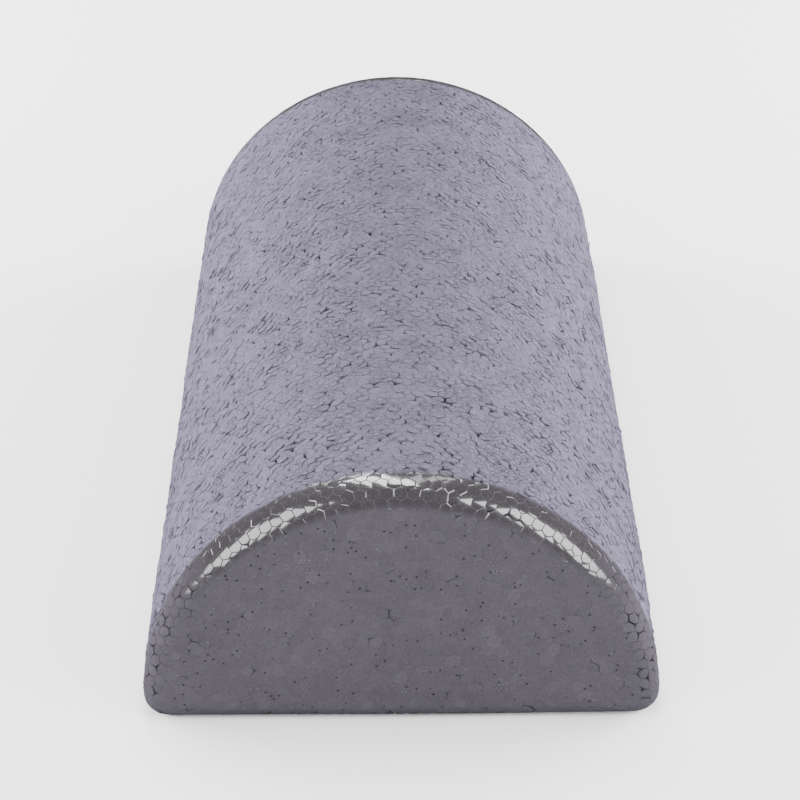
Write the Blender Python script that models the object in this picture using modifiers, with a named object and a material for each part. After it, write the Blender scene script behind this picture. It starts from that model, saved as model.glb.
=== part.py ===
"""Half-round foam exercise roller: one solid bead-foam moulding that lies on its flat.

Metres, +Z up. The origin is the centre of the flat underside, and the roller lies along Y.
"""

import math

import bmesh
import bpy

# Driving dimensions
LENGTH = 0.3048  # end face to end face
DIAMETER = 0.1524  # of the circle that the curved face is part of
HEIGHT = 0.080  # crown above the flat underside
RIM_RADIUS = 0.008  # rounding of the arched edge at each end
BASE_EDGE_RADIUS = 0.006  # rounding of the edge all round the underside

# How finely the round stretches are faceted
ARCH_FACET = 0.005  # widest facet of the curved face
FOOT_FACET_PER_BASE_EDGE = 1.3  # width of the facet at each foot, in base edge radii
RIM_SEGMENTS = 6
BASE_EDGE_SEGMENTS = 5
SHARP_BEND = math.radians(60.0)  # only the edge round the underside bends more
SMOOTH_BEND = math.radians(30.0)  # what bends less is shaded as one round surface
FLAT_BEND = math.radians(0.1)  # triangles that bend less are one flat face
WELD_DISTANCE = 0.00001

FOAM_GREY = (0.27, 0.25, 0.31, 1.0)
FOAM_ROUGHNESS = 0.62


def clear_scene():
    for obj in list(bpy.data.objects):
        bpy.data.objects.remove(obj, do_unlink=True)


def make_collection(name):
    collection = bpy.data.collections.new(name)
    bpy.context.scene.collection.children.link(collection)
    return collection


def foam_material():
    material = bpy.data.materials.new("bead_foam")
    material.use_nodes = True
    shader = material.node_tree.nodes["Principled BSDF"]
    shader.inputs["Base Color"].default_value = FOAM_GREY
    shader.inputs["Roughness"].default_value = FOAM_ROUGHNESS
    shader.inputs["Metallic"].default_value = 0.0
    return material


def section_points():
    """The arch of the cross-section, from the right foot over the crown to the left foot.

    It is the part of a circle of DIAMETER that lies above the underside when the circle's top is
    HEIGHT up. There is a point at each foot, and one a foot facet above it, which leaves room for
    the rounded base edge. Between these two the points stand at equal angles, one of them on top.
    """
    radius = DIAMETER / 2
    centre_height = HEIGHT - radius
    foot_angle = math.acos(-centre_height / radius)
    arch_angle = foot_angle - FOOT_FACET_PER_BASE_EDGE * BASE_EDGE_RADIUS / radius
    facets = math.ceil(arch_angle * radius / ARCH_FACET)  # on each side of the top
    angles = [arch_angle * (1 - i / facets) for i in range(2 * facets + 1)]
    angles = [foot_angle, *angles, -foot_angle]
    points = [(radius * math.sin(a), centre_height + radius * math.cos(a)) for a in angles]
    points[0], points[-1] = (points[0][0], 0.0), (points[-1][0], 0.0)
    return points


def extruded_section(collection):
    """A square-ended bar: the section as a flat outline, extruded to LENGTH along Y."""
    outline = bpy.data.curves.new("section", "CURVE")
    outline.dimensions = "2D"
    outline.fill_mode = "BOTH"
    outline.extrude = LENGTH / 2
    points = section_points()
    spline = outline.splines.new("POLY")
    spline.points.add(len(points) - 1)
    for point, (x, z) in zip(spline.points, points):
        point.co = (x, z, 0.0, 1.0)
    spline.use_cyclic_u = True
    bar = bpy.data.objects.new("section_bar", outline)
    bar.rotation_euler = (math.pi / 2, 0.0, 0.0)
    collection.objects.link(bar)
    return bar


def mesh_from_curve(curve_object, name, collection):
    """The curve as a closed mesh object in the same place, each flat side one face.

    The curve is removed.
    """
    bpy.context.view_layer.update()
    graph = bpy.context.evaluated_depsgraph_get()
    mesh = bpy.data.meshes.new_from_object(curve_object.evaluated_get(graph))
    mesh.name = name
    shape = bmesh.new()
    shape.from_mesh(mesh)
    bmesh.ops.remove_doubles(shape, verts=shape.verts, dist=WELD_DISTANCE)
    bmesh.ops.dissolve_limit(shape, angle_limit=FLAT_BEND, verts=shape.verts, edges=shape.edges)
    bmesh.ops.recalc_face_normals(shape, faces=shape.faces)
    shape.to_mesh(mesh)
    shape.free()
    solid = bpy.data.objects.new(name, mesh)
    solid.matrix_world = curve_object.matrix_world
    collection.objects.link(solid)
    bpy.data.objects.remove(curve_object, do_unlink=True)
    return solid


def mark_rims(mesh):
    """Gives the arched edges at both ends a full bevel weight, and every other edge none."""
    weights = mesh.attributes.new("bevel_weight_edge", "FLOAT", "EDGE")
    for edge, weight in zip(mesh.edges, weights.data):
        first, second = (mesh.vertices[i].co for i in edge.vertices)
        along_bar = abs(first.z - second.z) > WELD_DISTANCE
        on_underside = max(first.y, second.y) < WELD_DISTANCE
        weight.value = 0.0 if along_bar or on_underside else 1.0


def add_bevel(obj, name, width, segments, limit_method):
    bevel = obj.modifiers.new(name, "BEVEL")
    bevel.width = width
    bevel.segments = segments
    bevel.limit_method = limit_method
    bevel.angle_limit = SHARP_BEND
    bevel.use_clamp_overlap = False


def make_roller_body(collection):
    """The whole roller: the extruded section with its rims and then its base edge rounded."""
    body = mesh_from_curve(extruded_section(collection), "roller_body", collection)
    mark_rims(body.data)
    add_bevel(body, "rims", RIM_RADIUS, RIM_SEGMENTS, "WEIGHT")
    add_bevel(body, "base_edge", BASE_EDGE_RADIUS, BASE_EDGE_SEGMENTS, "ANGLE")
    body.data.materials.clear()
    body.data.materials.append(foam_material())
    body.data.shade_smooth()
    body.data.set_sharp_from_angle(angle=SMOOTH_BEND)
    return body


def main():
    clear_scene()
    make_roller_body(make_collection("half_round_foam_roller"))


main()
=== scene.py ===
"""Half-round foam roller: the looks of one bead-foam moulding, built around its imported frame.

The body is a closed skin of fused foam beads. Every bead is a small many-sided patch of mesh with
its own dome, tilt and shade. The beads meet in sunk grooves, and where three of them meet badly
there is a pit. The rim at each end is rounded, and glazed smooth by the mould. Metres, +Z up.
"""

import math

import bpy
import numpy as np
from bpy.props import FloatProperty, FloatVectorProperty, IntProperty, PointerProperty
from mathutils import Euler, Matrix, Vector
from mathutils.geometry import delaunay_2d_cdt


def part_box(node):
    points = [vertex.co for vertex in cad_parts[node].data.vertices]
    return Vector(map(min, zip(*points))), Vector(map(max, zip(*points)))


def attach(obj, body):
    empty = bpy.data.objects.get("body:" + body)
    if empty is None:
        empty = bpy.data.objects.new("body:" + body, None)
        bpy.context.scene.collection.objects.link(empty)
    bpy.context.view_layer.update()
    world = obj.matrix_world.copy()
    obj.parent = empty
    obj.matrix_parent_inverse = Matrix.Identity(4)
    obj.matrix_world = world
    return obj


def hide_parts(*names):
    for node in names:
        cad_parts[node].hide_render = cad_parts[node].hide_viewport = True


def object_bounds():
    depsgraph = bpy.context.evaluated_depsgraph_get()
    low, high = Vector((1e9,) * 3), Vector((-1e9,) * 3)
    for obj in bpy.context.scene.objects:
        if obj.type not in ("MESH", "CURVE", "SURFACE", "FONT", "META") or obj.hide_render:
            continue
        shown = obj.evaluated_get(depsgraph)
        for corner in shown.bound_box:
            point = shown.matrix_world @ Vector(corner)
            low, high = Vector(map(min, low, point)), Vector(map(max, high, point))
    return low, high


bl_info = {
    "name": "Half-Round Foam Roller",
    "version": (1, 0, 0),
    "blender": (4, 5, 0),
    "location": "View3D > Sidebar > Roller",
    "description": "A half-round roller of fused foam beads, in a plain studio",
    "category": "Add Mesh",
}

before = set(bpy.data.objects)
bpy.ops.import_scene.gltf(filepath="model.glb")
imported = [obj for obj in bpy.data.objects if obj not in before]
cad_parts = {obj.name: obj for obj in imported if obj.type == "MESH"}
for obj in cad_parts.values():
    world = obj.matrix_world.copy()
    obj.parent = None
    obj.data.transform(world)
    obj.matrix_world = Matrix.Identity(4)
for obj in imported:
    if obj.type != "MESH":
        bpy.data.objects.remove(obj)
CAD_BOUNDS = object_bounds()
BODY_NODE = "roller_body"
BODY_LOW, BODY_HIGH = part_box(BODY_NODE)

# Four values each: on the curved face, the rims, the flat ends and the underside
GROOVE_HALF_WIDTH = (0.00014, 0.00018, 0.00010, 0.00012)
GROOVE_DEPTH = (0.00050, 0.00019, 0.00003, 0.00005)  # where the meeting is fully open
GROOVE_POWER = (1.8, 0.5, 1.0, 1.0)  # a high one leaves most meetings nearly closed
BEAD_DOME = (0.00010, 0.0, 0.0, 0.0)
BEAD_LIFT = (0.00007, 0.00001, 0.00001, 0.00001)
BEAD_LEAN = (0.085, 0.004, 0.004, 0.004)  # rise over run
PIT_LEAST = (0.00022, 0.00022, 0.00028, 0.00022)
PIT_MOST = (0.00036, 0.00036, 0.0004, 0.0003)
PIT_DEPTH = (2.0, 0.5, 0.35, 0.8)  # over the pit's radius
PIT_SHARE = (0.09, 0.08, 0.10, 0.05)  # of the meetings
WIDE_PIT_SHARE = (0.02, 0.004, 0.008, 0.01)

# The foot of the rims is less well fused
LOW_RIM_HEIGHTS = (0.036, 0.050)  # fully below the first, not at all above the second
LOW_RIM_PITS, LOW_RIM_WIDE_PITS = 0.2, 0.03  # added to the shares
LOW_RIM_GROOVE_LOSS = 0.00008

WIDE_PIT_RADII = (0.0004, 0.0006)
FULL_PIT_RADIUS = 0.0004  # a pit this wide or wider has the full pit value
MOST_INSET = 0.6  # of the way from a meeting to the bead's centre
SWELL_HEIGHT = 0.00008
GLAZED_HEIGHTS = (0.036, 0.056)  # no glaze below the first, all of it above the second
GLAZE_TILT = 0.03  # how much the glaze of one rim bead is turned from the next
GLAZE_ROUNDING = 0.05  # how much it falls away at the bead's edge
JITTER = 0.3  # how far a bead is shifted, in bead pitches
ROW_SPACING = 0.65  # of the rows along the straight part, in bead pitches
HEX_ROWS = math.sqrt(3) / 2  # row spacing of an even hexagonal grid, in pitches

VENT_SPACING = 0.027  # from one vent mark to the next
VENT_SIDES = 8
VENT_FOOT, VENT_SHOULDER = 0.00034, 0.00025  # radii of a vent spot's two rings
VENT_RISE = (-0.0003, 0.00010, 0.00017)  # of its foot, shoulder and top above the skin
# Painted glint: the vent spots on the ends are made pale through their tone
VENT_PAINTED_GLINT = 5.0  # added to a spot's tone on the ends

ROLLER_MIDDLE = (0.0, 0.0, 0.04)  # what the softboxes are aimed at


# ---------------------------------------------------------------- settings


class RollerFoamSettings(bpy.types.PropertyGroup):
    diameter: FloatProperty(
        name="Diameter",
        description="Diameter of the circle that the curved face is part of",
        default=0.1524,
        min=0.05,
        unit="LENGTH",
    )
    rim_radius: FloatProperty(
        name="Rim Radius",
        description="Rounding of the arched edge at each end",
        default=0.008,
        min=0.002,
        unit="LENGTH",
    )
    base_edge_radius: FloatProperty(
        name="Base Edge Radius",
        description="Rounding of the edge all round the underside",
        default=0.006,
        min=0.001,
        unit="LENGTH",
    )
    bead_pitch: FloatProperty(
        name="Bead Pitch",
        description="Distance from one foam bead to the next, round the curved face",
        default=0.0038,
        min=0.002,
        unit="LENGTH",
    )
    vent_pitch: FloatProperty(
        name="Vent Pitch",
        description="Distance between the small spots of one vent mark",
        default=0.0012,
        min=0.0008,
        unit="LENGTH",
    )
    seed: IntProperty(name="Seed", description="Picks one set of beads and pits", default=7, min=0)
    curve_colour: FloatVectorProperty(
        name="Curved Face",
        description="Foam colour of the curved face and the underside",
        default=(0.091, 0.0805, 0.121),
        subtype="COLOR",
        min=0.0,
        max=1.0,
    )
    # Painted shade: a darker copy of the foam colour, for the shade that falls on the flat ends
    shaded_end_colour: FloatVectorProperty(
        name="End Faces",
        description="Foam colour of the two flat ends",
        default=(0.043, 0.038, 0.049),
        subtype="COLOR",
        min=0.0,
        max=1.0,
    )
    # Partly the darker glazed skin, partly painted shade for the dark surroundings that the glaze
    # reflects
    rim_colour_and_shade: FloatVectorProperty(
        name="Glazed Rim",
        description="Foam colour where the mould has glazed the rounded rim",
        default=(0.027, 0.024, 0.028),
        subtype="COLOR",
        min=0.0,
        max=1.0,
    )


class RollerStageSettings(bpy.types.PropertyGroup):
    floor_colour: FloatVectorProperty(
        name="Floor",
        description="Colour of the plain floor",
        default=(0.93, 0.93, 0.94),
        subtype="COLOR",
        min=0.0,
        max=1.0,
    )
    light_power: FloatProperty(
        name="Light Power",
        description="Multiplies the power of all the softboxes",
        default=1.0,
        min=0.0,
        subtype="FACTOR",
    )


# ---------------------------------------------------------------- the moulding's skin


class Form:
    """The plain shape under the beads: a little over half a cylinder, lying along Y on its flat.

    Its axis is at height axis. The rims at both ends are rounded, and so is the foot all round.
    """

    def __init__(self, settings):
        self.radius = settings.diameter / 2
        self.axis = BODY_HIGH.z - self.radius
        self.half_length = (BODY_HIGH.y - BODY_LOW.y) / 2
        self.rim = settings.rim_radius
        self.foot = settings.base_edge_radius


def rounded_meeting(first, second, radius):
    """Distance to where two solids meet, with the edge between them rounded to radius.

    Both distances grow by the radius. Inside, the larger one counts; outside both, their
    hypotenuse does. The radius is taken off again.
    """
    first, second = first + radius, second + radius
    inside = np.minimum(np.maximum(first, second), 0)
    return inside + np.hypot(np.maximum(first, 0), np.maximum(second, 0)) - radius


def skin_distance(points, form):
    """Signed distance to the plain skin: a bar that ends in rounded rims, cut off at the floor."""
    x, y, z = points.T
    arch = np.hypot(x, z - form.axis) - form.radius
    bar = rounded_meeting(arch, np.abs(y) - form.half_length, form.rim)
    return rounded_meeting(bar, -z, form.foot)


def skin_normal(points, form):
    """Unit normal of the skin: the slope of its distance, by differences along X, Y and Z."""
    step = 1e-6
    shifts = np.eye(3) * step
    slope = [
        skin_distance(points + shift, form) - skin_distance(points - shift, form)
        for shift in shifts
    ]
    slope = np.stack(slope, axis=1)
    return slope / np.linalg.norm(slope, axis=1, keepdims=True)


def onto_skin(points, form):
    """Moves points to the skin: each goes back along the normal by its distance, a few times."""
    for _ in range(4):
        points = points - skin_normal(points, form) * skin_distance(points, form)[:, None]
    return points


def section_outline(radius, axis, floor, corner):
    """A closed half-round outline in XZ, as points, from the middle of its flat and round again.

    The flat lies at height floor, the arch has the radius about height axis, and a small arc of the
    corner radius touches both. Its centre is the corner radius above the flat and inside the arch.
    """
    centre_z = floor + corner
    centre_x = math.sqrt((radius - corner) ** 2 - (centre_z - axis) ** 2)
    touch = math.atan2(centre_z - axis, centre_x)
    turn = np.linspace(-math.pi / 2, touch, 24)
    foot = np.stack([centre_x + corner * np.cos(turn), centre_z + corner * np.sin(turn)], axis=1)
    climb = np.linspace(touch, math.pi / 2, 240)[1:]
    arch = np.stack([radius * np.cos(climb), axis + radius * np.sin(climb)], axis=1)
    half = np.concatenate([[[0.0, floor]], foot, arch])
    other = half[-2::-1] * (-1, 1)
    return np.concatenate([half, other])


def along_outline(outline, share):
    """The outline's points at these shares of its length."""
    run = np.concatenate([[0], np.cumsum(np.linalg.norm(np.diff(outline, axis=0), axis=1))])
    return np.stack([np.interp(share * run[-1], run, outline[:, i]) for i in (0, 1)], axis=1)


def outline_length(outline):
    return np.linalg.norm(np.diff(outline, axis=0), axis=1).sum()


# ---------------------------------------------------------------- where the beads sit


class Band:
    """The curved face, the underside and the rims, unrolled flat.

    across runs round the section, from 0 to 1, starting in the middle of the underside. along runs
    the length of the roller and over the rims, to plus or minus reach.
    """

    def __init__(self, form):
        self.form = form
        self.outer = section_outline(form.radius, form.axis, 0.0, form.foot)
        self.inner = section_outline(form.radius - form.rim, form.axis, form.foot, 0.0)
        self.girth = outline_length(self.outer)
        self.straight = form.half_length - form.rim
        self.reach = self.straight + form.rim * math.pi / 2

    def place(self, across, along):
        """Points in space. Past the straight part, the section shrinks from the outer outline to
        the inner one as 1 - cos of the turn, while Y goes on by the rim radius times its sin."""
        turn = np.maximum(np.abs(along) - self.straight, 0) / self.form.rim
        shrink = (1 - np.cos(turn))[:, None]
        section = along_outline(self.outer, across) * (1 - shrink)
        section += along_outline(self.inner, across) * shrink
        y = np.minimum(np.abs(along), self.straight) + self.form.rim * np.sin(turn)
        points = np.stack([section[:, 0], np.sign(along) * y, section[:, 1]], axis=1)
        return onto_skin(points, self.form)


def triangulated(points):
    """Delaunay triangles over flat points, as rows of three indices."""
    coords, _, faces, *_ = delaunay_2d_cdt(points.tolist(), [], [], 0, 1e-9)
    if len(coords) != len(points):
        raise ValueError("bead centres coincide")
    return np.array(faces)


def band_beads(band, pitch, random):
    """Bead centres over the band, and the triangles between them.

    The centres stand on a hexagonal grid and are shifted at random, except along the two ends of
    the band, where the flat ends take over, and on the closing line. The rows stand closer on the
    straight part than over the rims, so the beads there are wider than they are long. Returns
    places, triangles and the row of centres at each end.
    """
    columns = round(band.girth / pitch)
    rim_rows = round((band.reach - band.straight) / (pitch * HEX_ROWS))
    straight_rows = 2 * round(band.straight / (pitch * ROW_SPACING))
    rows = straight_rows + 2 * rim_rows + 1
    row, column = np.mgrid[0:rows, 0 : columns + 1]
    odd = row % 2 == 1
    keep = ~(odd & (column == columns))
    row, column, odd = row[keep], column[keep], odd[keep]
    across = (column + 0.5 * odd) * band.girth / columns
    steps = (0, rim_rows, rim_rows + straight_rows, rows - 1)
    along = np.interp(row, steps, (-band.reach, -band.straight, band.straight, band.reach))
    shift = scatter(len(row), JITTER * pitch, random) * (1.0, 0.75)
    on_closing_line = ~odd & ((column == 0) | (column == columns))
    on_end = (row == 0) | (row == rows - 1)
    across += np.where(on_closing_line, 0, shift[:, 0])
    along += np.where(on_end, 0, shift[:, 1] * np.where(on_closing_line, 0, 1))
    triangles = triangulated(np.stack([across, along], axis=1))
    # The centres at the right edge of the unrolled band are those at its left edge.
    index = np.full((rows, columns + 1), -1)
    index[row, column] = np.arange(len(row))
    merged = np.arange(len(row))
    even = np.arange(0, rows, 2)
    merged[index[even, columns]] = index[even, 0]
    places = band.place(across / band.girth, along)
    return places, merged[triangles], index[0, :columns], index[rows - 1, :columns]


def scatter(count, size, random):
    """Random shifts in a disc of this radius."""
    angle = random.uniform(0, 2 * math.pi, count)
    length = size * np.sqrt(random.uniform(0, 1, count))
    return np.stack([length * np.cos(angle), length * np.sin(angle)], axis=1)


def end_beads(ring, side, form, pitch, random):
    """Bead centres inside the ring of one flat end, and the triangles over ring and centres."""
    columns = round(2 * form.radius / pitch)
    rows = round((form.radius + form.axis) / (pitch * HEX_ROWS))
    row, column = (grid.ravel() for grid in np.mgrid[0:rows, 0:columns])
    x = (column + 0.5 * (row % 2) - columns / 2) * pitch
    z = form.foot + (row + 0.9) * pitch * HEX_ROWS
    spot = np.stack([x, z], axis=1) + scatter(len(x), JITTER * pitch, random)
    margin = 0.6 * pitch
    arch = np.hypot(spot[:, 0], spot[:, 1] - form.axis) < form.radius - form.rim - margin
    spot = spot[arch & (spot[:, 1] > form.foot + margin)]
    y = np.full(len(spot), side * form.half_length)
    places = np.stack([spot[:, 0], y, spot[:, 1]], axis=1)
    return places, triangulated(np.concatenate([ring[:, [0, 2]], spot]))


def facing_out(places, triangles, form):
    """The triangles, turned over where needed so that their normals point out of the skin."""
    a, b, c = (places[triangles[:, i]] for i in range(3))
    out = skin_normal(onto_skin((a + b + c) / 3, form), form)
    wrong = (np.cross(b - a, c - a) * out).sum(axis=1) < 0
    triangles[wrong] = triangles[wrong][:, ::-1]
    return triangles


def bead_layout(form, pitch, random):
    """All bead centres on the closed skin, and the triangles that join neighbours."""
    band = Band(form)
    places, triangles, *rings = band_beads(band, pitch, random)
    for side, ring in zip((-1, 1), rings):
        inner, cap = end_beads(places[ring], side, form, pitch, random)
        index = np.concatenate([ring, len(places) + np.arange(len(inner))])
        places = np.concatenate([places, inner])
        triangles = np.concatenate([triangles, index[cap]])
    used, triangles = np.unique(triangles, return_inverse=True)
    places = places[used]
    return places, facing_out(places, triangles.reshape(-1, 3), form)


# ---------------------------------------------------------------- the beaded skin


def step_up(value, low, high):
    """0 below low, 1 above high, and a smooth S between."""
    share = np.clip((value - low) / (high - low), 0, 1)
    return share * share * (3 - 2 * share)


class Zones:
    """How much a point of the skin belongs to the rim, the flat ends and the underside, 0 to 1."""

    def __init__(self, points, form):
        normal = skin_normal(points, form)
        off_underside = step_up(normal[:, 2], -0.98, -0.7)
        rim_start = form.half_length - form.rim
        blend = (rim_start - 0.0024, rim_start - 0.0004)
        self.end = step_up(np.abs(normal[:, 1]), 0.93, 0.995)
        self.rim = step_up(np.abs(points[:, 1]), *blend)
        self.rim = self.rim * (1 - self.end) * off_underside
        self.under = 1 - step_up(normal[:, 2], -0.98, -0.8)
        self.low_rim = self.rim * (1 - step_up(points[:, 2], *LOW_RIM_HEIGHTS))

    def pick(self, curved, rim, end, under):
        """One value for each point, from the value that each zone has."""
        value = curved + (rim - curved) * self.rim
        value = value + (end - value) * self.end
        return value + (under - value) * self.under


def slow_swell(points, zones):
    """A low uneven swell of the curved face: three crossing waves, tens of millimetres long."""
    x, y, z = points.T
    waves = np.sin(74 * y + 31 * x) + np.sin(53 * x - 41 * y + 1.3) + np.sin(61 * z + 97 * y + 4.0)
    return waves * SWELL_HEIGHT * (1 - zones.under) * (1 - zones.end)


def next_corners(triangles):
    """For each triangle corner, the corner of the next triangle round the same bead.

    The corner's triangle runs from edge a-b to edge a-c. The next one round a starts with a-c.
    """
    a = triangles.ravel()
    b = np.roll(triangles, -1, axis=1).ravel()
    c = np.roll(triangles, 1, axis=1).ravel()
    count = triangles.max() + 1
    starts, wanted = a * count + b, a * count + c
    order = np.argsort(starts)
    return order[np.searchsorted(starts[order], wanted)]


def mean_by_bead(bead, values, count):
    """The mean of the values that belong to each bead."""
    total = np.stack([np.bincount(bead, column, count) for column in values.T], axis=1)
    return total / np.bincount(bead, minlength=count)[:, None]


def pit_sizes(zones, random):
    """A pit radius for each meeting of three beads: mostly none, some small and a few wide."""
    count = len(zones.rim)
    chance = random.uniform(0, 1, count)
    least, most = zones.pick(*PIT_LEAST), zones.pick(*PIT_MOST)
    size = least + (most - least) * random.uniform(0, 1, count)
    size *= chance < zones.pick(*PIT_SHARE) + LOW_RIM_PITS * zones.low_rim
    wide = chance < zones.pick(*WIDE_PIT_SHARE) + LOW_RIM_WIDE_PITS * zones.low_rim
    return np.where(wide, random.uniform(*WIDE_PIT_RADII, count), size)


def beaded_skin(form, settings):
    """The closed skin of beads: vertices, faces, point values, corner normals and a chart.

    A bead's outline joins the points where it meets two others. From there a wall climbs to the
    bead's shoulder, and the shoulder leads to its centre. The height of a bead is a small dome
    plus a random lift and lean. On the rims the tops' normals follow the plain skin, turned a
    little for each bead and falling away at its edge, because the glaze flows over the beads.
    """
    random = np.random.default_rng(settings.seed)
    centres, triangles = bead_layout(form, settings.bead_pitch, random)
    beads, meetings = len(centres), len(triangles)
    bead = triangles.ravel()
    meeting = np.repeat(np.arange(meetings), 3)
    following = next_corners(triangles)

    junction = onto_skin(centres[triangles].mean(axis=1), form)
    centres = onto_skin(mean_by_bead(bead, junction[meeting], beads), form)
    at_junction, at_bead = Zones(junction, form), Zones(centres, form)

    pit = pit_sizes(at_junction, random)
    inward = centres[bead] - junction[meeting]
    spoke = np.linalg.norm(inward, axis=1)
    groove_half = at_junction.pick(*GROOVE_HALF_WIDTH) - LOW_RIM_GROOVE_LOSS * at_junction.low_rim
    inset = np.minimum((groove_half + pit)[meeting] / spoke, MOST_INSET)
    shoulder_at = onto_skin(junction[meeting] + inward * inset[:, None], form)

    dome = at_bead.pick(*BEAD_DOME)
    lift = at_bead.pick(*BEAD_LIFT) * random.normal(0, 1, beads)
    lean = at_bead.pick(*BEAD_LEAN)[:, None] * random.normal(0, 1, (beads, 3))

    def bead_height(points):
        """Lift and lean of each corner's own bead at these points."""
        return lift[bead] + ((points - centres[bead]) * lean[bead]).sum(axis=1)

    open_share = random.uniform(0, 1, meetings) ** at_junction.pick(*GROOVE_POWER)
    depth = open_share * at_junction.pick(*GROOVE_DEPTH) + pit * at_junction.pick(*PIT_DEPTH)
    corner_mean = np.bincount(meeting, bead_height(junction[meeting]), meetings) / 3
    points = np.concatenate([junction, shoulder_at, centres])
    height = np.concatenate([corner_mean - depth, bead_height(shoulder_at), lift + dome])

    zones = Zones(points, form)
    height += slow_swell(points, zones)
    height = np.where(zones.under > 0.5, np.minimum(height, 0), height)
    skin_faces = skin_normal(points, form)
    verts = points + skin_faces * height[:, None]
    tilt = GLAZE_TILT * random.normal(0, 1, (beads, 3))
    rounding = -GLAZE_ROUNDING * inward / spoke[:, None]
    tilt = np.concatenate([np.zeros((meetings, 3)), tilt[bead] + rounding, tilt])
    normals = np.where(zones.rim[:, None] > 0.3, skin_faces + tilt, 0)
    normals /= np.maximum(np.linalg.norm(normals, axis=1, keepdims=True), 1e-9)

    shoulder = meetings + np.arange(3 * meetings)
    hub = 4 * meetings + bead
    walls = np.stack([meeting, meeting[following], shoulder[following], shoulder], axis=1)
    tops = np.stack([shoulder, shoulder[following], hub], axis=1)

    tone = random.uniform(0, 1, beads)
    none = np.zeros(3 * meetings)
    attributes = {
        "groove": np.concatenate([open_share, none, np.zeros(beads)]),
        "pit": np.concatenate([np.clip(pit / FULL_PIT_RADIUS, 0, 1), none, np.zeros(beads)]),
        "tone": np.concatenate([np.full(meetings, 0.5), tone[bead], tone]),
        "rim": zones.rim,
        "end": zones.end,
    }
    faces = (walls, tops)
    corner_normals = np.concatenate([np.zeros((walls.size, 3)), normals[tops.ravel()]])
    return verts, faces, attributes, corner_normals, unrolled(points, faces, (hub, hub), form)


def unrolled(points, face_groups, hub_groups, form):
    """Flat coordinates for every face corner, 0 to 1, from the plain skin unrolled.

    Across is the angle round a line above the flat, times the girth. Along is Y, and over the
    rims the rim radius times the turn. A corner lies beside its bead's hub, so that the closing
    line tears no face. The two ends are seen square on, side by side above the band.
    """
    x, y, z = points.T
    band = Band(form)
    line_height = 0.4 * form.radius
    angle = np.arctan2(x, z - line_height)
    turn = np.arcsin(np.clip((np.abs(y) - band.straight) / form.rim, 0, 1))
    along = np.sign(y) * (np.minimum(np.abs(y), band.straight) + form.rim * turn)
    on_end = np.abs(skin_normal(points, form)[:, 1]) > 0.7
    sheet, gap = 0.41, 0.004  # the flat sheet's side, and the gap between the charts
    corners = []
    for faces, hub in zip(face_groups, hub_groups):
        own = np.repeat(hub, faces.shape[1])
        vertex = faces.ravel()
        swing = np.angle(np.exp(1j * (angle[vertex] - angle[own])))
        across = (angle[own] + swing) / (2 * math.pi) * band.girth + sheet / 2
        flat = np.stack([across, along[vertex] + band.reach + gap], axis=1)
        end_x = sheet / 4 * (2 + np.sign(y[own])) + x[vertex]
        end_z = 2 * (band.reach + gap) + gap + z[vertex]
        end = np.stack([end_x, end_z], axis=1)
        corners.append(np.where(on_end[own][:, None], end, flat))
    return np.concatenate(corners) / sheet


def mesh_object(name, verts, face_groups, attributes, flat_groups=(), normals=None, chart=None):
    """A mesh object from whole arrays: vertices, groups of faces of one size, point values.

    The groups named by flat_groups are shaded flat. Normals, where not zero, replace a face
    corner's own. A chart gives each face corner's place on a flat sheet.
    """
    mesh = bpy.data.meshes.new(name)
    mesh.vertices.add(len(verts))
    mesh.vertices.foreach_set("co", verts.astype(np.float32).ravel())
    loops = np.concatenate([group.ravel() for group in face_groups])
    sides = np.concatenate([np.full(len(group), group.shape[1]) for group in face_groups])
    mesh.loops.add(len(loops))
    mesh.loops.foreach_set("vertex_index", loops.astype(np.int32))
    mesh.polygons.add(len(sides))
    mesh.polygons.foreach_set("loop_start", (np.cumsum(sides) - sides).astype(np.int32))
    for key, values in attributes.items():
        layer = mesh.attributes.new(key, "FLOAT", "POINT")
        layer.data.foreach_set("value", values.astype(np.float32))
    if chart is not None:
        mesh.uv_layers.new(name="OFBake").data.foreach_set("uv", chart.astype(np.float32).ravel())
    smooth = [np.full(len(group), i not in flat_groups) for i, group in enumerate(face_groups)]
    mesh.polygons.foreach_set("use_smooth", np.concatenate(smooth))
    mesh.update(calc_edges=True)
    if normals is not None:
        mesh.normals_split_custom_set(normals)
    piece = bpy.data.objects.new(name, mesh)
    bpy.context.scene.collection.objects.link(piece)
    return piece


# ---------------------------------------------------------------- vent marks


def vent_centres(form, pitch):
    """The spots that the mould's steam vents left on the skin, in rows over the band and ends.

    Each mark is a hexagonal patch of spots at this pitch, two steps out from its middle.
    """
    q, r = (grid.ravel() for grid in np.mgrid[-2:3, -2:3])
    near = np.abs(q + r) <= 2
    hexagon = np.stack([q + r / 2, r * HEX_ROWS], axis=1)[near] * pitch
    band = Band(form)
    rows, columns = round(2 * band.straight / VENT_SPACING), round(band.girth / VENT_SPACING)
    row, column = (grid.ravel() for grid in np.mgrid[0:rows, 0:columns])
    across = (column + 0.25 + 0.5 * (row % 2)) / columns * band.girth
    along = (row + 0.5 - rows / 2) * VENT_SPACING
    patch = (np.stack([across, along], axis=1)[:, None] + hexagon).reshape(-1, 2)
    on_band = band.place(patch[:, 0] / band.girth % 1, patch[:, 1])
    low, middle, high = 0.013, 0.034, 0.055
    seats = [(-VENT_SPACING, low), (0.0, low), (VENT_SPACING, low)]
    seats += [(-0.045, middle), (0.0, middle), (0.045, middle)]
    seats += [(-VENT_SPACING, high), (VENT_SPACING, high)]
    spots = (np.array(seats)[:, None] + hexagon).reshape(-1, 2)
    ends = []
    for side in (-1, 1):
        y = np.full(len(spots), side * form.half_length)
        ends.append(np.stack([spots[:, 0], y, spots[:, 1]], axis=1))
    return np.concatenate([on_band, *ends])


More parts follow.
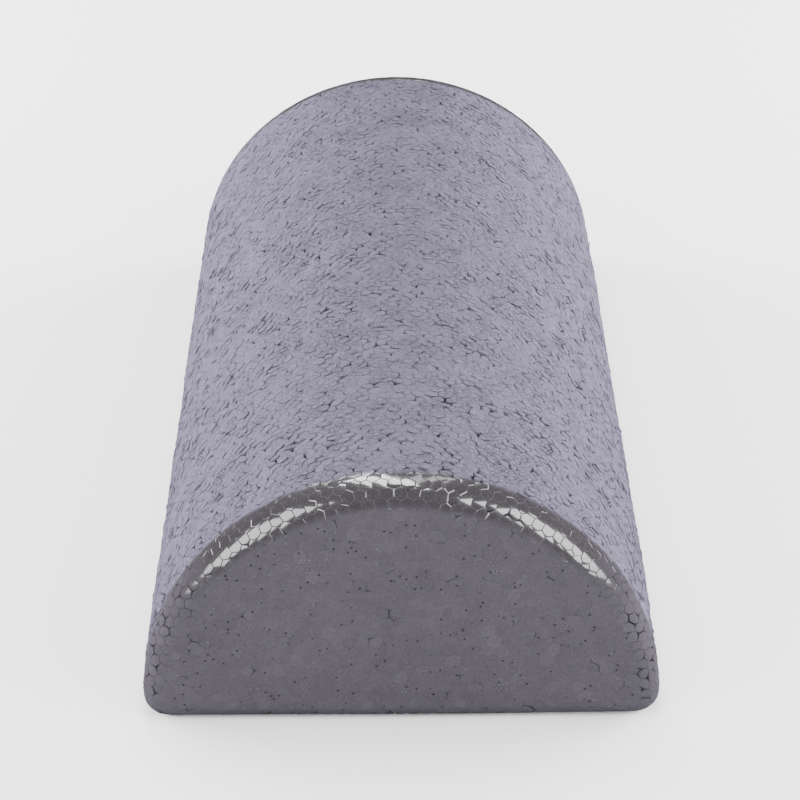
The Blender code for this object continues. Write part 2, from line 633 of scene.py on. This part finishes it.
def vent_spots(form, settings):
    """Small closed domes on the skin, as vertices, faces, point values and a chart.

    A dome is two rings of points and a top. The lower ring is sunk into the foam.
    """
    places = vent_centres(form, settings.vent_pitch)
    normal = skin_normal(places, form)
    upright = np.abs(normal[:, 2:]) > 0.9
    side = np.cross(normal, np.where(upright, (1.0, 0.0, 0.0), (0.0, 0.0, 1.0)))
    side /= np.linalg.norm(side, axis=1, keepdims=True)
    ahead = np.cross(normal, side)
    angle = np.arange(VENT_SIDES) * 2 * math.pi / VENT_SIDES
    circle = np.stack([np.cos(angle), np.sin(angle)], axis=1)
    flat = np.concatenate([circle * VENT_FOOT, circle * VENT_SHOULDER, np.zeros((1, 2))])
    ring_sizes = (VENT_SIDES, VENT_SIDES, 1)
    rise = np.repeat(VENT_RISE, ring_sizes)
    zones = Zones(places, form)
    end_sink, underside_sink = 0.00012, 0.00025
    out = rise - end_sink * zones.end[:, None] - underside_sink * zones.under[:, None]
    out = out + slow_swell(places, zones)[:, None]
    verts = places[:, None] + side[:, None] * flat[:, :1] + ahead[:, None] * flat[:, 1:]
    verts = (verts + normal[:, None] * out[..., None]).reshape(-1, 3)

    per_spot = sum(ring_sizes)
    first = (np.arange(len(places)) * per_spot)[:, None, None]
    step = np.arange(VENT_SIDES)
    after = (step + 1) % VENT_SIDES
    skirt = np.stack([step, after, after + VENT_SIDES, step + VENT_SIDES], axis=1)
    top = np.full(VENT_SIDES, per_spot - 1)
    cap = np.stack([step + VENT_SIDES, after + VENT_SIDES, top], axis=1)
    base = step[None, ::-1]
    faces = [(first + group).reshape(-1, group.shape[1]) for group in (skirt, cap, base)]
    attributes = {
        # The groove value gives a spot's sides the material's painted groove shading
        "groove": np.tile(np.repeat([1.0, 0.7, 0.0], ring_sizes), len(places)),
        "pit": np.zeros(len(verts)),
        # Painted glint: a pale tone on the spots on the ends
        "tone": np.repeat(0.5 + VENT_PAINTED_GLINT * zones.end, per_spot),
        "rim": np.zeros(len(verts)),
        "end": np.repeat(zones.end, per_spot),
    }
    # Each spot has a square cell of the chart, with its base drawn small in the cell's corner.
    cells = math.ceil(math.sqrt(len(places)))
    cell = np.stack(np.divmod(np.arange(len(places)), cells), axis=1)[:, None]
    own = 0.5 + flat / 0.0008
    corner = [own[skirt.ravel()], own[cap.ravel()], 0.04 + flat[step[::-1]] / 0.01]
    chart = np.concatenate([(cell + part).reshape(-1, 2) for part in corner]) / cells
    return verts, faces, attributes, chart


# ---------------------------------------------------------------- materials


class Wire:
    """A shader socket that takes part in Python arithmetic: each expression adds its nodes."""

    def __init__(self, tree, socket):
        self.tree, self.socket = tree, socket

    def node(self, kind, settings=None, **inputs):
        """Adds a node. Settings are set first, then the sockets, named or as _0, _1 by place."""
        made = self.tree.nodes.new(kind)
        for key, value in (settings or {}).items():
            setattr(made, key, value)
        for key, value in inputs.items():
            place = int(key[1:]) if key[0] == "_" else key.replace("_", " ")
            target = made.inputs[place]
            if isinstance(value, Wire):
                self.tree.links.new(value.socket, target)
            else:
                target.default_value = value
        return made

    def maths(self, operation, first, second=0.0):
        made = self.node("ShaderNodeMath", {"operation": operation}, _0=first, _1=second)
        return Wire(self.tree, made.outputs[0])

    def __add__(self, other):
        return self.maths("ADD", self, other)

    def __sub__(self, other):
        return self.maths("SUBTRACT", self, other)

    def __rsub__(self, other):
        return self.maths("SUBTRACT", other, self)

    def __mul__(self, other):
        return self.maths("MULTIPLY", self, other)

    __radd__, __rmul__ = __add__, __mul__

    def between(self, low, high):
        """This value carried from low..high to 0..1, and held there outside."""
        made = self.node("ShaderNodeMapRange", None, Value=self, From_Min=low, From_Max=high)
        return Wire(self.tree, made.outputs["Result"])

    def blend(self, dark, light):
        """The colour between two, by this value."""
        made = self.node("ShaderNodeMix", {"data_type": "RGBA"}, _0=self, _6=dark, _7=light)
        return Wire(self.tree, made.outputs[2])

    def shade(self, colour):
        """The colour made darker or lighter by this value."""
        scaled = self.node("ShaderNodeVectorMath", {"operation": "SCALE"}, _0=colour, Scale=self)
        return Wire(self.tree, scaled.outputs[0])


def new_material(name):
    """A material with its shader node and a bare Wire to start expressions from."""
    material = bpy.data.materials.new(name)
    material.use_nodes = True
    tree = material.node_tree
    return material, tree.nodes["Principled BSDF"], Wire(tree, None)


def feed(wire, shader, socket):
    wire.tree.links.new(wire.socket, shader.inputs[socket])


def point_value(start, name):
    made = start.node("ShaderNodeAttribute", {"attribute_name": name})
    return Wire(start.tree, made.outputs["Fac"])


def rgba(colour):
    return (*colour, 1.0)


class FoamTextures:
    """The procedural textures of the foam, all read from the object's own coordinates."""

    def __init__(self, start):
        self.start = start
        self.place = Wire(start.tree, start.node("ShaderNodeTexCoord").outputs["Object"])

    def height(self):
        parts = self.start.node("ShaderNodeSeparateXYZ", None, Vector=self.place)
        return Wire(self.start.tree, parts.outputs["Z"])

    def stretched(self, factors):
        """The coordinates multiplied by these factors, so that what they carry is squeezed."""
        made = self.start.node(
            "ShaderNodeVectorMath", {"operation": "MULTIPLY"}, _0=self.place, _1=factors
        )
        return Wire(self.start.tree, made.outputs[0])

    def noise(self, scale, detail, roughness=0.5):
        made = self.start.node(
            "ShaderNodeTexNoise",
            None,
            Vector=self.place,
            Scale=scale,
            Detail=detail,
            Roughness=roughness,
        )
        return Wire(self.start.tree, made.outputs["Fac"])

    def cells(self, scale, feature="F1", at=None):
        """Distance from a cell's middle or its edge, in cells, and a random value for the cell."""
        made = self.start.node(
            "ShaderNodeTexVoronoi", {"feature": feature}, Vector=at or self.place, Scale=scale
        )
        distance = Wire(self.start.tree, made.outputs["Distance"])
        if feature != "F1":
            return distance, None
        colour = Wire(self.start.tree, made.outputs["Color"])
        parts = self.start.node("ShaderNodeSeparateColor", None, _0=colour)
        return distance, Wire(self.start.tree, parts.outputs[0])


def bead_foam(settings):
    """Fused bead foam, glazed round the rims. Its colour holds painted shade: the ends take a
    darker copy of the foam colour, and grooves, creases and pits are darkened. Painted highlights
    pale the grooves in the glaze and the vent spots on the ends.
    """
    material, shader, start = new_material("bead_foam")
    groove, pit, tone, rim, end = (
        point_value(start, name) for name in ("groove", "pit", "tone", "rim", "end")
    )
    textures = FoamTextures(start)
    glazed = rim * textures.height().between(*GLAZED_HEIGHTS)
    ends_and_rims = (end + rim).between(0.0, 1.0)
    on_curve = 1.0 - ends_and_rims
    # Painted shade: the ends and the unglazed parts of the rims take the darker, shaded end colour
    colour = ends_and_rims.blend(rgba(settings.curve_colour), rgba(settings.shaded_end_colour))
    # The glazed rim's colour is partly its darker skin and partly painted shade for the dark
    # surroundings it reflects
    colour = glazed.blend(colour, rgba(settings.rim_colour_and_shade))

    mottle = textures.noise(55.0, 3.0)
    smooth_patch = textures.noise(90.0, 2.0).between(0.38, 0.60)
    speckle = textures.noise(1500.0, 2.0, 0.7) - 0.5
    grain = textures.noise(2600.0, 2.0, 0.6)
    wrinkle = textures.noise(900.0, 3.0, 0.6)

    # Creases finer than a bead, and closer along the roller than across it. On the curve their
    # edges are darkened in the colour as painted shade, and they are shaped in the bump
    squeezed = textures.stretched((1.0, 1.5, 1.0))
    middle, _ = textures.cells(450.0, "F1", squeezed)
    edge, _ = textures.cells(450.0, "DISTANCE_TO_EDGE", squeezed)
    painted_crease_shade, crease = edge.between(0.0, 0.10), edge.between(0.0, 0.16)

    # Compact dots on the ends: about half of the cells have a dark one, painted shade of a tiny
    # pit, and a tenth a pale one
    from_middle, chance = textures.cells(430.0)
    dot = 1.0 - from_middle.between(0.12, 0.19)
    painted_pit_dot = dot * chance.between(0.52, 0.54)
    pale_dot = dot * (1.0 - chance.between(0.10, 0.12))

    light = 1.0 + (tone - 0.5) * (0.14 - 0.03 * ends_and_rims) + (mottle - 0.5) * 0.14
    light = light + end * tone.between(0.93, 1.0) * 0.10
    # Painted shade along the creases on the curve, less in the smooth patches
    light = light * (1.0 - (1.0 - painted_crease_shade) * on_curve * (0.38 - 0.26 * smooth_patch))
    light = light + speckle * ends_and_rims * (1.0 - glazed) * 0.7
    light = light * (1.0 - end * painted_pit_dot * 0.85) + end * pale_dot * 0.40
    # Painted light in the grooves: painted shade on the curve, a painted highlight on their edges
    # in the glaze, and darker or paler by patch on the ends
    on_end = end * (smooth_patch * 1.1 - 0.50)
    outline = groove * (0.52 * (1.0 - end) + on_end - 2.6 * glazed.between(0.3, 1.0))
    # Painted shade in the pits
    painted_pit_shade = pit.between(0.2, 0.6) * (1.0 - end) + pit.between(0.66, 0.78) * end
    light = light * (1.0 - outline) * (1.0 - painted_pit_shade * 0.93)
    feed(light.shade(colour), shader, "Base Color")

    glaze = glazed * (1.0 - 0.7 * groove.between(0.1, 0.5))
    feed(0.70 - 0.42 * glaze + (grain - 0.5) * 0.08, shader, "Roughness")
    feed(glaze, shader, "Coat Weight")
    shader.inputs["Coat Roughness"].default_value = 0.10
    shader.inputs["Specular IOR Level"].default_value = 0.35
    shader.inputs["Coat IOR"].default_value = 1.85
    shader.inputs["IOR"].default_value = 1.49
    scales = (crease * 0.45 - middle * 0.9) * on_curve * (1.2 - 0.6 * smooth_patch)
    relief = (grain * 0.08 + wrinkle * 0.2 + scales) * (1.0 - 0.95 * glazed)
    bump = start.node("ShaderNodeBump", None, Height=relief, Strength=1.0, Distance=0.00045)
    feed(Wire(start.tree, bump.outputs["Normal"]), shader, "Normal")
    return material


def floor_finish(settings):
    """A plain pale floor with hardly any shine."""
    material, shader, _ = new_material("studio_floor")
    shader.inputs["Base Color"].default_value = rgba(settings.floor_colour)
    shader.inputs["Roughness"].default_value = 0.9
    shader.inputs["Specular IOR Level"].default_value = 0.1
    return material


# ---------------------------------------------------------------- operators


class ROLLER_OT_mould_body(bpy.types.Operator):
    """Mould the roller's body from fused foam beads"""

    bl_idname = "roller.mould_body"
    bl_label = "Mould Body"

    def execute(self, context):
        settings = context.scene.roller_foam
        verts, faces, attributes, normals, chart = beaded_skin(Form(settings), settings)
        body = mesh_object("foam_body", verts, faces, attributes, (0,), normals, chart)
        body.data.materials.append(bead_foam(settings))
        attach(body, "root")
        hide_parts(BODY_NODE)
        return {"FINISHED"}


class ROLLER_OT_press_vents(bpy.types.Operator):
    """Press the marks of the mould's steam vents into the skin"""

    bl_idname = "roller.press_vents"
    bl_label = "Press Vent Marks"

    def execute(self, context):
        settings = context.scene.roller_foam
        body = bpy.data.objects.get("foam_body")
        if body is None:
            raise RuntimeError("mould the body before its vent marks")
        verts, faces, attributes, chart = vent_spots(Form(settings), settings)
        marks = mesh_object("vent_marks", verts, faces, attributes, chart=chart)
        marks.data.materials.append(body.data.materials[0])
        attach(marks, "root")
        return {"FINISHED"}


def aim(place, target):
    """A matrix at the place whose -Z looks at the target."""
    direction = Vector(target) - Vector(place)
    turn = direction.to_track_quat("-Z", "Y").to_matrix().to_4x4()
    return Matrix.Translation(place) @ turn


def add_softbox(name, place, size, power, mirrored):
    """A rectangular light, aimed at the roller. Unless mirrored, it leaves no highlight."""
    lamp = bpy.data.lights.new(name, "AREA")
    lamp.shape = "RECTANGLE"
    lamp.size, lamp.size_y = size
    lamp.energy = power
    softbox = bpy.data.objects.new(name, lamp)
    bpy.context.scene.collection.objects.link(softbox)
    softbox.matrix_world = aim(place, ROLLER_MIDDLE)
    softbox.visible_glossy = mirrored


class ROLLER_OT_set_stage(bpy.types.Operator):
    """Lay the floor, hang the softboxes and stand the camera"""

    bl_idname = "roller.set_stage"
    bl_label = "Set Stage"

    def execute(self, context):
        settings = context.scene.roller_stage
        self.lay_floor(settings)
        self.hang_lights(settings)
        self.stand_camera(context.scene)
        return {"FINISHED"}

    def lay_floor(self, settings):
        half, gap = 4.0, 0.0003
        z = CAD_BOUNDS[0][2] - gap
        corners = np.array([(-half, -half, z), (half, -half, z), (half, half, z), (-half, half, z)])
        floor = mesh_object("studio_floor", corners, [np.array([[0, 1, 2, 3]])], {})
        floor.data.materials.append(floor_finish(settings))
        floor.visible_glossy = False

    def hang_lights(self, settings):
        """Place, size and watts of each. The fills light the foam but don't show in the glaze."""
        softboxes = {
            "overhead_softbox": ((-0.14, 0.45, 1.15), (0.30, 1.5), 18.0),
            "overhead_fill": ((0.13, 0.45, 1.15), (0.24, 1.5), 3.5),
            "left_softbox": ((-0.95, -0.75, 0.62), (0.8, 1.1), 20.0),
            "right_softbox": ((0.95, -0.70, 0.62), (0.8, 1.1), 24.0),
        }
        fills = {
            "left_fill": ((-0.95, 0.40, 0.20), (1.0, 0.4), 56.0),
            "right_fill": ((0.95, 0.40, 0.20), (1.0, 0.4), 58.0),
            "ceiling_fill": ((0.0, -0.6, 1.8), (2.4, 2.4), 15.0),
            "front_fill": ((0.0, -0.6, 0.6), (0.5, 0.3), 3.0),
        }
        for lights, mirrored in ((softboxes, True), (fills, False)):
            for name, (place, size, watts) in lights.items():
                add_softbox(name, place, size, watts * settings.light_power, mirrored)
        world = bpy.data.worlds.new("studio_room")
        world.use_nodes = True
        room = world.node_tree.nodes["Background"]
        room.inputs["Color"].default_value = (1.0, 1.0, 1.0, 1.0)
        room.inputs["Strength"].default_value = 0.12
        bpy.context.scene.world = world

    def stand_camera(self, scene):
        lens = bpy.data.cameras.new("studio_camera")
        lens.sensor_width = 36.0
        lens.lens = 108.45
        camera = bpy.data.objects.new("studio_camera", lens)
        scene.collection.objects.link(camera)
        pitch, yaw, roll = (math.radians(angle) for angle in (30.04, 0.25, -0.28))
        turn = Euler((math.pi / 2 - pitch, 0.0, -yaw)).to_matrix().to_4x4()
        place = Matrix.Translation((-0.00259, -0.71749, 0.43581))
        camera.matrix_world = place @ turn @ Matrix.Rotation(roll, 4, "Z")
        scene.camera = camera


class ROLLER_PT_panel(bpy.types.Panel):
    """The roller's sizes, colours and steps"""

    bl_idname = "ROLLER_PT_panel"
    bl_label = "Half-Round Roller"
    bl_space_type = "VIEW_3D"
    bl_region_type = "UI"
    bl_category = "Roller"

    def draw(self, context):
        layout = self.layout
        for settings in (context.scene.roller_foam, context.scene.roller_stage):
            for key in settings.__annotations__:
                layout.prop(settings, key)
        for operator in (ROLLER_OT_mould_body, ROLLER_OT_press_vents, ROLLER_OT_set_stage):
            layout.operator(operator.bl_idname)


CLASSES = (
    RollerFoamSettings,
    RollerStageSettings,
    ROLLER_OT_mould_body,
    ROLLER_OT_press_vents,
    ROLLER_OT_set_stage,
    ROLLER_PT_panel,
)


def register():
    for cls in CLASSES:
        bpy.utils.register_class(cls)
    bpy.types.Scene.roller_foam = PointerProperty(type=RollerFoamSettings)
    bpy.types.Scene.roller_stage = PointerProperty(type=RollerStageSettings)


def unregister():
    del bpy.types.Scene.roller_stage
    del bpy.types.Scene.roller_foam
    for cls in reversed(CLASSES):
        bpy.utils.unregister_class(cls)


def main():
    register()
    bpy.ops.roller.mould_body()
    bpy.ops.roller.press_vents()
    bpy.ops.roller.set_stage()


if __name__ == "__main__":
    main()
